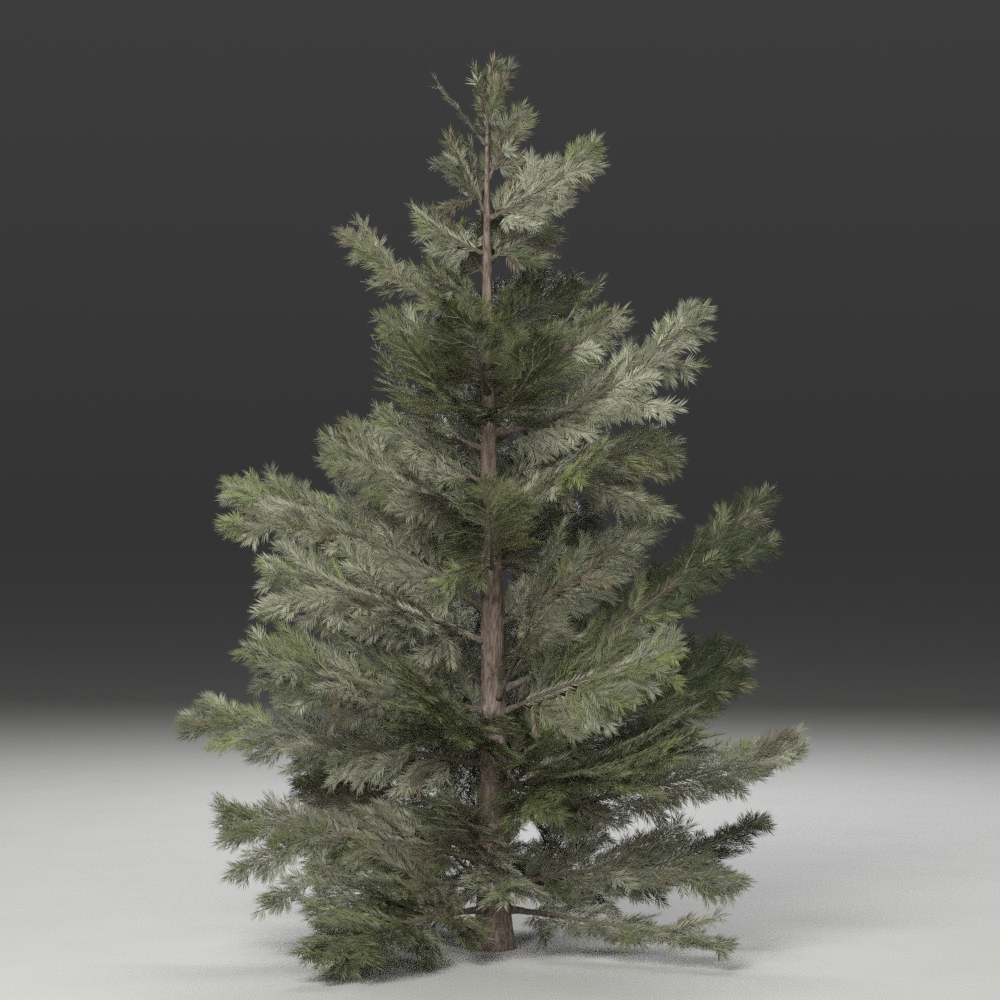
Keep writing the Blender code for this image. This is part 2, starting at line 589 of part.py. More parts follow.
def main():
    for obj in list(bpy.data.objects):
        bpy.data.objects.remove(obj)

    trunk_mesh = tube("trunk", [trunk_ring(height) for height in TRUNK_RING_HEIGHTS])
    trunk = new_object("trunk", trunk_mesh, "trunk_bark")
    trunk_tree = tree_of(trunk.data)
    boughs = [make_bough(frond, trunk_tree) for frond in FRONDS if frond.bough]
    wood = [trunk_tree] + [tree_of(bough.data) for bough in boughs]

    spines = {}
    for frond in FRONDS:
        limbs = [frond] + [fork for fork in FORKS if fork.number == frond.number]
        spines[frond.number] = [(limb, spine_mesh(limb, trunk_tree)) for limb in limbs]
    taken = {number: [tree_of(mesh) for _, mesh in parts] for number, parts in spines.items()}
    for frond in FRONDS:
        rng = random.Random(frond.number)
        neighbours = [trees for number, trees in taken.items() if number != frond.number]
        others = wood + [tree for trees in neighbours for tree in trees]
        meshes = [mesh for _, mesh in spines[frond.number]]
        for limb, _ in spines[frond.number]:
            meshes += plan_twigs(limb, rng, others, taken[frond.number])
        fuse(f"foliage_{frond.number:02d}", meshes, "needles_" + frond.tint)


main()
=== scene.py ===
"""The looks of the young conifer: bark with relief, twigs grown by part.py's rule, and their needles.

The trunk, the table of fronds and the rule for side twigs are the source's own, written again here;
the growth is carried on to finer twigs and to needles within the same reach.
Lengths are in metres, angles in degrees, and +Z is up.
"""

import json
import math
import random
from collections import namedtuple

import bpy
import numpy as np
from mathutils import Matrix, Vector, noise

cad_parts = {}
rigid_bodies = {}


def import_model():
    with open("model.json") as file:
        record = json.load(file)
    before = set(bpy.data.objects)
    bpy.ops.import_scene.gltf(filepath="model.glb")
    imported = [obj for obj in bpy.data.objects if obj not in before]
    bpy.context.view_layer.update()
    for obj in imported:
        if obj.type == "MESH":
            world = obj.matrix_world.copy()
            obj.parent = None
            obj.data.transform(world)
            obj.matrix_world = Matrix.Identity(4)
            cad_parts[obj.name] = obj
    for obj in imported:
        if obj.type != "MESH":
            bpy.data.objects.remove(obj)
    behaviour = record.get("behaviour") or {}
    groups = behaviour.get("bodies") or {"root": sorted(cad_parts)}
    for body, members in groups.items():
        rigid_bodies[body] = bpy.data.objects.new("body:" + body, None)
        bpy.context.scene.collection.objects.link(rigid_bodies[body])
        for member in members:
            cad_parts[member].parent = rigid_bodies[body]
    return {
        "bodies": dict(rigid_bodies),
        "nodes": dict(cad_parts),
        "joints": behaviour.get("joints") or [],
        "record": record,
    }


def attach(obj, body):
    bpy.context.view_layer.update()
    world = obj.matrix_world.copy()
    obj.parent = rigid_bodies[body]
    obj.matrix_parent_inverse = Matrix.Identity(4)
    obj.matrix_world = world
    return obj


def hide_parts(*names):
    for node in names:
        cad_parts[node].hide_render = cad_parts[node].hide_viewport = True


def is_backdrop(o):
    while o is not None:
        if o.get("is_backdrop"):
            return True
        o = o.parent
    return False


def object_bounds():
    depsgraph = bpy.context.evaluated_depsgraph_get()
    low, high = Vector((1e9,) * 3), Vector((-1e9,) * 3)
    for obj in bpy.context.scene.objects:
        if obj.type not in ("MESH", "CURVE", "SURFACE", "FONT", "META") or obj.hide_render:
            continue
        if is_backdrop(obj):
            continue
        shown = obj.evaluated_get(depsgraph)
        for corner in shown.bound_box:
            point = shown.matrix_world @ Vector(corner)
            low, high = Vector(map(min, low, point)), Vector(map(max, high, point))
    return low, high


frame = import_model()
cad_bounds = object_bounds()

UP = Vector((0, 0, 1))
# A tube is squared to +Z, or to +X where it starts steeper than this rise for each unit of length.
UP_OR_SIDE = (np.array((0.0, 0.0, 1.0)), np.array((1.0, 0.0, 0.0)))
STEEP = 0.9

# ---------------------------------------------------------------- the source's sizes and table
TRUNK_HEIGHT = 2.20
TRUNK_DIAMETER = 0.092       # of the straight taper, measured at the ground
TAPER_HEIGHT = 2.33          # where that taper would come to a point
TAPER_POWER = 0.85
FLARE_DIAMETER = 0.035       # added at the ground by the root flare
FLARE_HEIGHT = 0.07
FLARE_LOBES = 5
FLARE_LOBE_DEPTH = 0.05      # of the radius, fading up the flare
LEAN = -0.006                # sideways travel for each metre of height
WAVE = 0.005                 # the trunk's slight bends
WAVE_AWAY = 0.7              # of those bends is away from the viewer
WAVE_TURN = 2.6              # radians of bend for each metre of height
LIMB_RADIUS = 0.0038         # at the trunk, plus the next value for each metre of reach
LIMB_RADIUS_PER_REACH = 0.0078
STEM_TAPER = 0.25            # tip radius as a share of the root radius
SWAY = 0.05                  # sideways bend of a spine, as a share of its reach
SWAY_TURN = 2.4              # radians from one frond's bend to the next one's
FORK_RADIUS = 0.8            # of its frond's spine, where the fork leaves it
TANGENT_STEP = 0.01          # share of a spine over which its direction is measured
TWIG_ANGLE_ROOT = 74         # between a side twig and its spine, beside the trunk
TWIG_ANGLE_TIP = 22          # and at the frond's tip
TWIG_ANGLE_SPREAD = 7
TWIG_ROLL_SPREAD = 20
TWIG_LIFT_SPREAD = 20        # out of the frond's plane
TWIG_SHORTEST = 0.05
TWIG_LONGEST = 0.80          # of the leafy spine still ahead
TWIG_AHEAD = 1.1             # the share of the spine at which that would reach nothing
TWIG_LENGTHS = (0.85, 1.10)  # the spread of their lengths
TWIG_PLACES = (0.25, 0.55)   # where in its own interval a twig stands
END_INTERVAL = 0.6           # intervals left free at the tip
TWIG_BOW = 0.08              # droop of the tip, as a share of the length
SPREAD_ROOT = 1.55           # of a frond's width where it starts, narrowing evenly
SPREAD_TIP = 0.45            # to this share of it at its tip
SPREAD_SHOULDER = 0.85       # and drawn in a little beside the limb

# Each frond leaves the trunk at height, heads out at azimuth (0 is +X, 90 is +Y) and ends at
# reach and rise. arch lifts its middle, as a share of reach. tilt raises its +Y edge. width is half
# of its spread. bare is the share of the spine without needles, and where bough is 1 a limb of its
# own carries that stretch.
# tint names the mix its sprays are dealt; fronds of the dark tint lie in shadow, and their near-black
# green is painted shade.
Frond = namedtuple("Frond", "number height azimuth reach rise arch tilt width bare bough tint")

FRONDS = [Frond(*row) for row in (
    (1, 2.20, 20, 0.014, 0.200, 0.00, 12, 0.055, 0.00, 0, "brown"),
    (2, 2.17, 178, 0.140, 0.175, 0.00, 4, 0.022, 0.08, 0, "sage"),
    (3, 2.08, 2, 0.095, 0.20, 0.00, 60, 0.060, 0.05, 0, "brown"),
    (4, 1.99, 203, 0.115, 0.20, 0.04, 55, 0.095, 0.04, 0, "brown"),
    (5, 1.97, 348, 0.305, 0.205, -0.06, 68, 0.085, 0.05, 0, "pale"),
    (6, 1.875, 192, 0.205, 0.125, -0.06, 60, 0.060, 0.05, 0, "sage"),
    (7, 1.86, 12, 0.205, 0.085, 0.05, 45, 0.080, 0.05, 0, "brown"),
    (8, 1.82, 112, 0.290, 0.16, 0.00, 45, 0.120, 0.05, 0, "dark"),
    (9, 1.74, 212, 0.230, 0.090, 0.00, 40, 0.110, 0.05, 0, "olive"),
    (10, 1.69, 173, 0.400, 0.250, -0.04, 62, 0.045, 0.26, 1, "sage"),
    (11, 1.64, 48, 0.360, 0.20, 0.00, 35, 0.110, 0.05, 0, "dark"),
    (12, 1.56, 205, 0.330, 0.14, -0.03, 58, 0.090, 0.05, 0, "sage"),
    (13, 1.50, 262, 0.370, 0.24, -0.08, 5, 0.150, 0.05, 0, "olive"),
    (14, 1.50, 352, 0.370, 0.225, -0.04, 55, 0.080, 0.05, 0, "sage"),
    (15, 1.43, 292, 0.400, 0.24, -0.12, 10, 0.120, 0.12, 0, "olive"),
    (16, 1.42, 238, 0.440, 0.25, -0.10, 15, 0.130, 0.10, 0, "olive"),
    (17, 1.39, 350, 0.590, 0.345, -0.11, 62, 0.090, 0.12, 1, "pale"),
    (18, 1.35, 184, 0.315, 0.29, -0.16, 6, 0.070, 0.27, 1, "pale"),
    (19, 1.32, 112, 0.480, 0.18, 0.00, 50, 0.190, 0.05, 0, "sage"),
    (20, 1.26, 165, 0.325, 0.205, -0.04, 35, 0.085, 0.04, 0, "sage"),
    (21, 1.24, 12, 0.530, 0.105, 0.06, 55, 0.100, 0.06, 0, "sage"),
    (22, 1.20, 308, 0.510, 0.16, -0.06, 50, 0.065, 0.05, 0, "lime"),
    (23, 1.17, 190, 0.455, 0.215, -0.05, 60, 0.105, 0.05, 0, "sage"),
    (24, 1.03, 271, 0.440, 0.25, -0.10, 6, 0.125, 0.12, 0, "olive"),
    (25, 1.02, 58, 0.580, 0.16, 0.00, 50, 0.200, 0.05, 0, "dark"),
    (26, 1.00, 128, 0.580, 0.20, 0.00, 50, 0.200, 0.05, 0, "sage"),
    (27, 0.92, 181, 0.720, 0.325, 0.06, 55, 0.108, 0.12, 1, "pale"),
    (28, 0.88, 4, 0.450, 0.30, -0.05, 60, 0.088, 0.05, 0, "sage"),
    (29, 0.68, 296, 0.430, 0.48, -0.04, 40, 0.070, 0.20, 0, "pale"),
    (30, 0.83, 197, 0.635, 0.21, 0.02, 50, 0.130, 0.08, 0, "pale"),
    (31, 0.70, 12, 0.790, 0.545, -0.08, 60, 0.088, 0.20, 1, "dark"),
    (32, 0.69, 102, 0.660, 0.18, 0.00, 50, 0.230, 0.05, 0, "sage"),
    (33, 0.64, 334, 0.540, 0.18, 0.02, 66, 0.140, 0.10, 1, "lime"),
    (34, 0.64, 205, 0.700, 0.165, 0.00, 45, 0.135, 0.05, 0, "sage"),
    (35, 0.54, 252, 0.600, 0.25, -0.06, 20, 0.160, 0.10, 0, "olive"),
    (36, 0.50, 24, 0.785, 0.29, -0.04, 52, 0.145, 0.05, 0, "dark"),
    (37, 0.50, 178, 0.850, 0.115, 0.00, 50, 0.100, 0.12, 1, "pale"),
    (38, 0.44, 318, 0.700, 0.18, -0.03, 20, 0.170, 0.05, 0, "olive"),
    (39, 0.42, 66, 0.700, 0.14, 0.00, 50, 0.220, 0.05, 0, "sage"),
    (40, 0.36, 351, 0.835, 0.205, -0.02, 62, 0.090, 0.24, 1, "pale"),
    (41, 0.36, 142, 0.700, 0.10, 0.00, 50, 0.220, 0.05, 0, "brown"),
    (42, 0.25, 257, 0.460, 0.21, -0.04, 12, 0.120, 0.10, 0, "pale"),
    (43, 0.24, 190, 0.740, 0.11, 0.03, 45, 0.100, 0.14, 1, "sage"),
    (44, 0.17, 12, 0.775, 0.165, -0.07, 35, 0.090, 0.05, 0, "dark"),
    (45, 0.17, 343, 0.690, 0.03, 0.06, 40, 0.090, 0.12, 1, "sage"),
    (46, 0.165, 212, 0.570, -0.04, 0.08, 30, 0.125, 0.05, 0, "sage"),
    (47, 0.14, 108, 0.700, 0.12, 0.02, 45, 0.210, 0.05, 0, "sage"),
    (48, 0.11, 238, 0.785, -0.04, 0.03, 20, 0.145, 0.20, 0, "olive"),
    (49, 0.11, 324, 0.735, -0.05, 0.01, 28, 0.076, 0.18, 0, "pale"),
)]

# A fork leaves the spine of the frond with its number at start, a share of that spine.
Fork = namedtuple("Fork", "number start azimuth reach rise arch tilt width bare")

FORKS = [Fork(*row) for row in (
    (1, 0.18, 192, 0.032, 0.140, 0.00, 60, 0.030, 0.10),
    (1, 0.30, 0, 0.060, 0.130, 0.00, 60, 0.030, 0.10),
    (4, 0.16, 172, 0.120, -0.03, 0.00, 45, 0.060, 0.08),
    (5, 0.10, 20, 0.090, 0.13, 0.00, 50, 0.045, 0.10),
    (5, 0.30, 330, 0.110, -0.01, 0.10, 60, 0.035, 0.20),
    (8, 0.25, 45, 0.130, 0.20, 0.00, 40, 0.045, 0.10),
    (9, 0.12, 188, 0.170, -0.03, 0.00, 45, 0.060, 0.05),
    (10, 0.60, 165, 0.110, 0.15, -0.05, 62, 0.030, 0.10),
    (10, 0.42, 150, 0.170, 0.02, 0.00, 40, 0.035, 0.15),
    (11, 0.12, 96, 0.280, 0.16, 0.00, 40, 0.085, 0.05),
    (12, 0.15, 132, 0.240, 0.10, 0.00, 45, 0.080, 0.05),
    (12, 0.15, 252, 0.210, 0.08, 0.00, 20, 0.060, 0.05),
    (14, 0.10, 72, 0.280, 0.05, 0.00, 45, 0.080, 0.05),
    (14, 0.12, 300, 0.220, 0.12, 0.00, 20, 0.060, 0.05),
    (14, 0.15, 336, 0.260, 0.27, 0.00, 25, 0.040, 0.10),
    (17, 0.48, 342, 0.230, -0.04, 0.00, 60, 0.045, 0.12),
    (17, 0.68, 354, 0.170, 0.00, 0.00, 60, 0.045, 0.10),
    (19, 0.06, 48, 0.300, 0.00, 0.00, 40, 0.080, 0.05),
    (21, 0.08, 352, 0.130, 0.19, 0.00, 40, 0.055, 0.10),
    (21, 0.12, 318, 0.300, 0.08, 0.00, 20, 0.075, 0.05),
    (21, 0.30, 352, 0.330, -0.13, 0.00, 50, 0.060, 0.12),
    (21, 0.42, 20, 0.230, 0.09, 0.00, 50, 0.050, 0.10),
    (23, 0.12, 238, 0.310, 0.10, 0.00, 20, 0.080, 0.05),
    (23, 0.45, 170, 0.180, 0.175, 0.00, 60, 0.045, 0.10),
    (24, 0.10, 205, 0.160, -0.05, 0.00, 50, 0.060, 0.08),
    (25, 0.12, 20, 0.280, 0.02, 0.00, 30, 0.070, 0.05),
    (26, 0.12, 165, 0.300, 0.02, 0.00, 30, 0.080, 0.05),
    (27, 0.45, 200, 0.400, 0.02, 0.06, 50, 0.060, 0.10),
    (28, 0.06, 338, 0.180, -0.06, 0.00, 50, 0.065, 0.08),
    (28, 0.10, 72, 0.360, 0.02, 0.00, 45, 0.100, 0.05),
    (30, 0.10, 128, 0.360, 0.08, 0.00, 45, 0.100, 0.05),
    (30, 0.12, 242, 0.360, 0.08, 0.00, 20, 0.085, 0.05),
    (30, 0.42, 205, 0.380, -0.02, 0.05, 45, 0.060, 0.10),
    (31, 0.60, 4, 0.310, 0.14, 0.00, 60, 0.055, 0.10),
    (32, 0.12, 42, 0.300, 0.12, 0.00, 45, 0.090, 0.05),
    (32, 0.10, 148, 0.280, 0.08, 0.00, 45, 0.085, 0.05),
    (34, 0.22, 186, 0.300, 0.23, 0.00, 45, 0.060, 0.10),
    (35, 0.10, 185, 0.260, 0.10, 0.00, 40, 0.070, 0.05),
    (36, 0.08, 60, 0.260, 0.16, 0.00, 30, 0.070, 0.05),
    (37, 0.18, 136, 0.380, 0.02, 0.00, 45, 0.100, 0.05),
    (38, 0.05, 285, 0.320, 0.16, 0.00, 15, 0.080, 0.08),
    (38, 0.06, 352, 0.200, -0.11, 0.00, 45, 0.060, 0.08),
    (42, 0.06, 280, 0.300, -0.09, 0.03, 10, 0.085, 0.05),
    (43, 0.18, 140, 0.380, -0.02, 0.00, 40, 0.090, 0.05),
    (43, 0.30, 212, 0.430, -0.16, 0.05, 40, 0.050, 0.10),
    (43, 0.45, 205, 0.380, -0.09, 0.05, 40, 0.060, 0.10),
    (44, 0.08, 50, 0.260, 0.20, 0.00, 35, 0.070, 0.05),
    (45, 0.36, 8, 0.270, 0.12, 0.00, 40, 0.050, 0.10),
    (47, 0.12, 60, 0.420, 0.04, 0.00, 35, 0.080, 0.05),
    (49, 0.70, 335, 0.170, 0.06, 0.00, 40, 0.035, 0.10),
)]

# ---------------------------------------------------------------- finer growth
OVERHANG = 0.029             # a twig stops this far inside its spray's reach, for its last needles
TWIG_STEP = 0.0165           # between side twigs along a spine
TWIG_SHARES = (0.75, 1.05)   # a twig's length, as shares of what the rule gives it
TWIG_LEAST = 0.02
TWIG_POINTS = 6
TWIG_RADII = (0.0016, 0.0006)
TWIG_LEAN = 0.12             # bend towards the spine's tip, as a share of the length
TWIG_CURL = 0.05             # spread of its bend across, the same
TWIGLET_STEP = 0.026         # between the smallest shoots along a twig
TWIGLET_FIRST = 0.60         # places of the first one, and the spread of the rest, in steps
TWIGLET_JITTER = 0.30
TWIGLET_SPARE = 0.5          # steps left free at the tip
TWIGLET_LAST = 0.92          # share of the twig beyond which none grow
TWIGLET_SHARE = 0.55         # of the twig still ahead
TWIGLET_SHARES = (0.70, 1.15)
TWIGLET_LEAST = 0.03
TWIGLET_MOST = 0.13
TWIGLET_POINTS = 3
TWIGLET_ANGLE = 30           # from the twig
TWIGLET_ANGLE_SPREAD = 6
TWIGLET_LIFT = 0.14          # radians out of the frond's plane
TWIGLET_RADII = (0.0009, 0.0004)
TWIGLET_BOW = 0.05           # droop of the tip, and bend along the twig, as shares of the length
TWIGLET_LEAN = 0.10

NEEDLE_STEP = 0.0018         # along a shoot, both sides together
NEEDLE_LENGTH = 0.029
NEEDLE_LENGTHS = (0.80, 1.12)
NEEDLE_JITTER = 0.5          # unevenness of their places, in steps
NEEDLE_HALF = 0.00080        # half of its width at its widest
NEEDLE_ANGLE = 46            # from the shoot
NEEDLE_ANGLE_SPREAD = 5
NEEDLE_CLOSING = 0.45        # how far the last needles close over the shoot's tip
NEEDLE_RISE = 0.10           # radians out of the spray's plane, and their spread
NEEDLE_RISE_SPREAD = 0.26
NEEDLE_BOW = 0.25            # forward curve of the point, as a share of the length
NEEDLE_WAIST = 0.45          # share of the length at which it is widest
NEEDLE_KEEL = 0.0004         # lift of its edges over its midrib
NEEDLE_SHRINK = 0.25         # how much shorter the last needles are
CLOSING_POWER = 4            # how late along the shoot the needles close and shrink
SHRINK_POWER = 6
NEEDLE_LEAST = 3             # on one shoot

SPINE_POINTS = 16
SPINE_PLACE = 0.6            # share of a spine whose plane its own needles lie in
SPINE_LOOK_PLACE = 0.7       # and the place whose colours they are dealt
TWIG_LOOK_PLACE = 0.4        # of a twig's length, the same
YOUNG_WOOD_FROM = 0.5        # share of a frond beyond which twigs have young bark
LEAFY_FROM = 0.5             # of a limb's bare stretch, where its first shoots stand
SPINE_LEAST = 0.5            # share of a spine that is kept, however short it is
SHOOT_SIDES = 3
GROUND_CLEARANCE = 0.004
FACES_PER_PIECE = 190000     # every piece stays under 200,000 triangles

# ---------------------------------------------------------------- colours
TINTS = {
    "sage": (0.165, 0.174, 0.116),
    "pale": (0.255, 0.262, 0.190),
    "olive": (0.152, 0.168, 0.082),
    # this near-black green is painted shade, for fronds and sprays that lie in shadow
    "dark": (0.054, 0.068, 0.031),
    "lime": (0.155, 0.182, 0.072),
    "brown": (0.150, 0.136, 0.088),
    "young": (0.150, 0.176, 0.080),
}
SHADES = (0.76, 1.00, 1.24)  # every tint is dealt out in these strengths
SHADE_WEIGHTS = (1.0, 1.0, 1.0)
LOW_UNTIL = 0.50             # below this height the pale floor lights the sprays again,
SHADE_WEIGHTS_LOW = (6.0, 1.0, 0.0)   # so they are mostly dealt the weakest
# What a frond of each tint is mixed from: (tint, weight), ...
MIXES = {
    "sage": (("sage", 50), ("pale", 25), ("brown", 15), ("olive", 10)),
    "pale": (("pale", 62), ("sage", 28), ("lime", 3), ("brown", 7)),
    "olive": (("olive", 50), ("dark", 25), ("sage", 15), ("lime", 10)),
    # a frond in shadow is mostly dealt the near-black green of painted shade
    "dark": (("dark", 74), ("olive", 16), ("brown", 10)),
    "lime": (("lime", 42), ("pale", 23), ("olive", 15), ("sage", 20)),
    "brown": (("brown", 45), ("sage", 30), ("dark", 15), ("pale", 10)),
}
YOUNG_FROM = 0.72            # share of a frond beyond which sprays turn yellow-green
YOUNG_CHANCE = 0.30
OLD_UNTIL = 0.30             # share below which they turn brown with age, or near-black green as painted shade
OLD_CHANCE = 0.18
OLD_BROWN = 0.5              # chance that such a spray is the brown one
OWN_TINT = 0.60              # chance that a twiglet has its twig's tint

NEEDLE_ROUGHNESS = 0.55
OLD_TWIG = ((0.140, 0.110, 0.080), 0.8)     # colour and roughness
YOUNG_TWIG = ((0.220, 0.215, 0.140), 0.7)
GREEN_BARK = ((0.110, 0.106, 0.068), 0.8)
BARK_ROUGHNESS = 0.85
SPECULAR = 0.3
# Colours against the depth of the furrows, or against a grain: (place, colour), ...
TRUNK_RIDGES = (
    (0.05, (0.062, 0.047, 0.040)),
    (0.45, (0.145, 0.113, 0.098)),
    (0.95, (0.240, 0.194, 0.170)),
)
TRUNK_PATCHES = (
    (0.35, (0.72, 0.66, 0.60)),
    (0.65, (1.00, 0.98, 0.95)),
)
BOUGH_STREAKS = (
    (0.30, (0.046, 0.038, 0.030)),
    (0.52, (0.105, 0.086, 0.068)),
    (0.72, (0.180, 0.154, 0.126)),
)
FLOOR_PATCHES = (
    (0.3, (0.51, 0.51, 0.50)),
    (0.7, (0.53, 0.53, 0.52)),
)
# Grains: waves for each metre across the trunk, and how much longer they are along it.
PATCH_GRAIN = (26, 2.5)
BARK_GRAIN = (420, 5)
BOUGH_GRAIN = (190, 1.5)
BOUGH_FINE_GRAIN = (500, 1.5)
FLOOR_GRAIN = (3, 1)
GRAIN_DETAIL = 6
BARK_BUMP = 0.0012
BOUGH_BUMP = 0.0010
BUMP_STRENGTH = 0.6

# ---------------------------------------------------------------- bark
BARK_SIDES = 100
BARK_ROW = 0.006             # height of a row of the trunk's mesh
FURROW_WIDTH = 0.0075
FURROW_STRETCH = 6.0         # a furrow's length, in widths
FURROW_DEPTH = 0.0020        # at the ground, less where the trunk is thinner
FULL_DEPTH_HEIGHT = 0.3      # above it, relief thins with the trunk
FURROW_WANDER = 0.5          # sideways wandering of a furrow, in widths
WANDER_PITCH = 0.6           # wanders for each width, and their stretch along the trunk
WANDER_STRETCH = 3
FINE_FURROWS = 2.3           # of these to one broad furrow
FINE_SHIFT = Vector((7.0, 3.0, 5.0))
FURROW_SHARPNESS = 2.2
FINE_SHARPNESS = 2.0
RIDGE_TOP = 1.25             # a ridge's height before the furrows are taken from it
BROAD_SHARE = 0.75
FINE_SHARE = 0.45
PLATE_DEPTH = 0.0008
PLATE_WIDTH = 0.5            # of a broad furrow
COLLAR_RISE = 0.0045         # swelling of the trunk round a limb's root
COLLAR_SIZE = 0.016
COLLAR_REACH = 3             # sizes beyond which it is not worked out
LIMB_SIDES = 8
LIMB_ROW = 0.010
LIMB_SUNK = 0.006            # how deep a limb's root goes into the trunk
LIMB_FLARE = 0.55            # thickening of a limb at its root
LIMB_FLARE_LENGTH = 0.022
LIMB_KNOBS = 0.16            # unevenness, as a share of the radius
LIMB_KNOB_SIZE = 0.012
LIMB_LEAST_ROWS = 6
LIMB_POINT_FROM = 0.9        # share of a limb beyond which it narrows to a point
LIMB_POINT_LEFT = 0.5        # of its thickness there, at its very tip
LIMB_GREEN_FROM = 0.26       # metres out along a limb, where its bark turns grey-green

# ---------------------------------------------------------------- stage
FLOOR_SIZE = 120
FLOOR_COLOUR = (0.52, 0.52, 0.51)
FLOOR_ROUGHNESS = 0.9
LENS = 108
SENSOR = 36
CAMERA_AT = (0.019, -8.10, 1.21)
AIM = Vector((0, 0, 1.2))
WORLD_HORIZON = (0.034, 0.034, 0.035)
WORLD_ABOVE = (0.070, 0.070, 0.072)
WORLD_ABOVE_FROM = 0.5       # sine of the height at which the sky stops changing
# Where each light stands, its size, its power and its colour.
LIGHTS = (
    ((-2.4, -5.8, 4.4), 3.0, 540, (1.0, 0.99, 0.95)),
    ((1.2, -7.0, 2.0), 3.0, 215, (1.0, 0.99, 0.95)),
    ((0.5, 4.5, 5.5), 3.0, 380, (0.98, 0.99, 1.0)),
)


# ---------------------------------------------------------------- places along the plant
def trunk_centre(height):
    bend = WAVE * math.sin(WAVE_TURN * height)
    return Vector((LEAN * height + bend, WAVE_AWAY * bend, height))


def trunk_radius(height):
    taper = TRUNK_DIAMETER * (1 - height / TAPER_HEIGHT) ** TAPER_POWER
    return 0.5 * (taper + FLARE_DIAMETER * math.exp(-height / FLARE_HEIGHT))


def heading(azimuth):
    angle = math.radians(azimuth)
    return Vector((math.cos(angle), math.sin(angle), 0))


def spine_point(limb, share):
    """A point on a frond's or a fork's spine, where share runs from 0 at its root to 1 at its tip."""
    out = heading(limb.azimuth)
    if isinstance(limb, Fork):
        root = spine_point(frond_of(limb), limb.start)
        travel = limb.reach * share
    else:
        root = trunk_centre(limb.height)
        inner = trunk_radius(limb.height) if limb.number > 1 else 0
        travel = inner + (limb.reach - inner) * share
    lift = limb.rise * share + 4 * limb.arch * limb.reach * share * (1 - share)
    sway = SWAY * math.sin(SWAY_TURN * limb.number) * limb.reach * share * share
    return root + out * travel + out.cross(UP) * sway + UP * lift


def frond_of(fork):
    return next(frond for frond in FRONDS if frond.number == fork.number)


def spine_frame(limb, share):
    """The point, the direction along the spine, the direction to the raised edge, and the normal."""
    point = spine_point(limb, share)
    ahead = spine_point(limb, share + TANGENT_STEP)
    behind = spine_point(limb, share - TANGENT_STEP)
    along = (ahead - behind).normalized()
    flat = UP.cross(heading(limb.azimuth))
    if flat.y < 0:
        flat.negate()
    flat = (flat - along * flat.dot(along)).normalized()
    up = along.cross(flat)
    if up.z < 0:
        up.negate()
    tilt = math.radians(limb.tilt)
    across = flat * math.cos(tilt) + up * math.sin(tilt)
    normal = up * math.cos(tilt) - flat * math.sin(tilt)
    return point, along, across, normal


def limb_radius(limb, share):
    reach = frond_of(limb).reach
    root = LIMB_RADIUS + LIMB_RADIUS_PER_REACH * reach
    if isinstance(limb, Fork):
        root = FORK_RADIUS * limb_radius(frond_of(limb), limb.start)
    return root * (STEM_TAPER + (1 - STEM_TAPER) * (1 - share) ** 2)


def spread(limb, share):
    """Half of the frond's width at a share of its spine, by its side sprays' tips."""
    leafy = (share - limb.bare) / (1 - limb.bare)
    narrowing = SPREAD_ROOT - (SPREAD_ROOT - SPREAD_TIP) * leafy
    return limb.width * narrowing * min(1, SPREAD_SHOULDER + 2 * leafy)


def side_twigs(limb, rng, spacing):
    """The seeded rule: share of the spine, side, length and turns of each side twig."""
    leafy = (spine_point(limb, 1) - spine_point(limb, limb.bare)).length
    count = max(2, round(leafy / spacing - 0.5))
    for index in range(count):
        leafy_share = (index + rng.uniform(*TWIG_PLACES)) / (count + END_INTERVAL)
        share = limb.bare + (1 - limb.bare) * leafy_share
        angle = TWIG_ANGLE_ROOT + (TWIG_ANGLE_TIP - TWIG_ANGLE_ROOT) * math.sqrt(leafy_share)
        angle += rng.uniform(-1, 1) * TWIG_ANGLE_SPREAD
        across = spread(limb, share) / math.sin(math.radians(angle))
        ahead = TWIG_LONGEST * leafy * (TWIG_AHEAD - share)
        length = min(across, ahead) * rng.uniform(*TWIG_LENGTHS)
        lift = rng.uniform(-1, 1) * TWIG_LIFT_SPREAD
        roll = rng.uniform(-1, 1) * TWIG_ROLL_SPREAD
        yield share, (-1) ** index, max(length, TWIG_SHORTEST), (angle, lift, roll)


def rotated(first, second, angle):
    """Two directions at right angles, turned by an angle in their own plane."""
    return (first * math.cos(angle) + second * math.sin(angle),
            second * math.cos(angle) - first * math.sin(angle))


def turned_frame(frame, side, turns):
    """The frame of a side twig: turned from the spine in its plane, lifted out of it, then rolled."""
    _, along, across, normal = frame
    turn, lift, roll = (math.radians(angle) for angle in turns)
    ahead, _ = rotated(along, across * side, turn)
    ahead, normal = rotated(ahead, normal, lift)
    aside, normal = rotated(normal.cross(ahead), normal, roll)
    return ahead, aside, normal


def unit(vectors):
    return vectors / np.linalg.norm(vectors, axis=-1, keepdims=True)


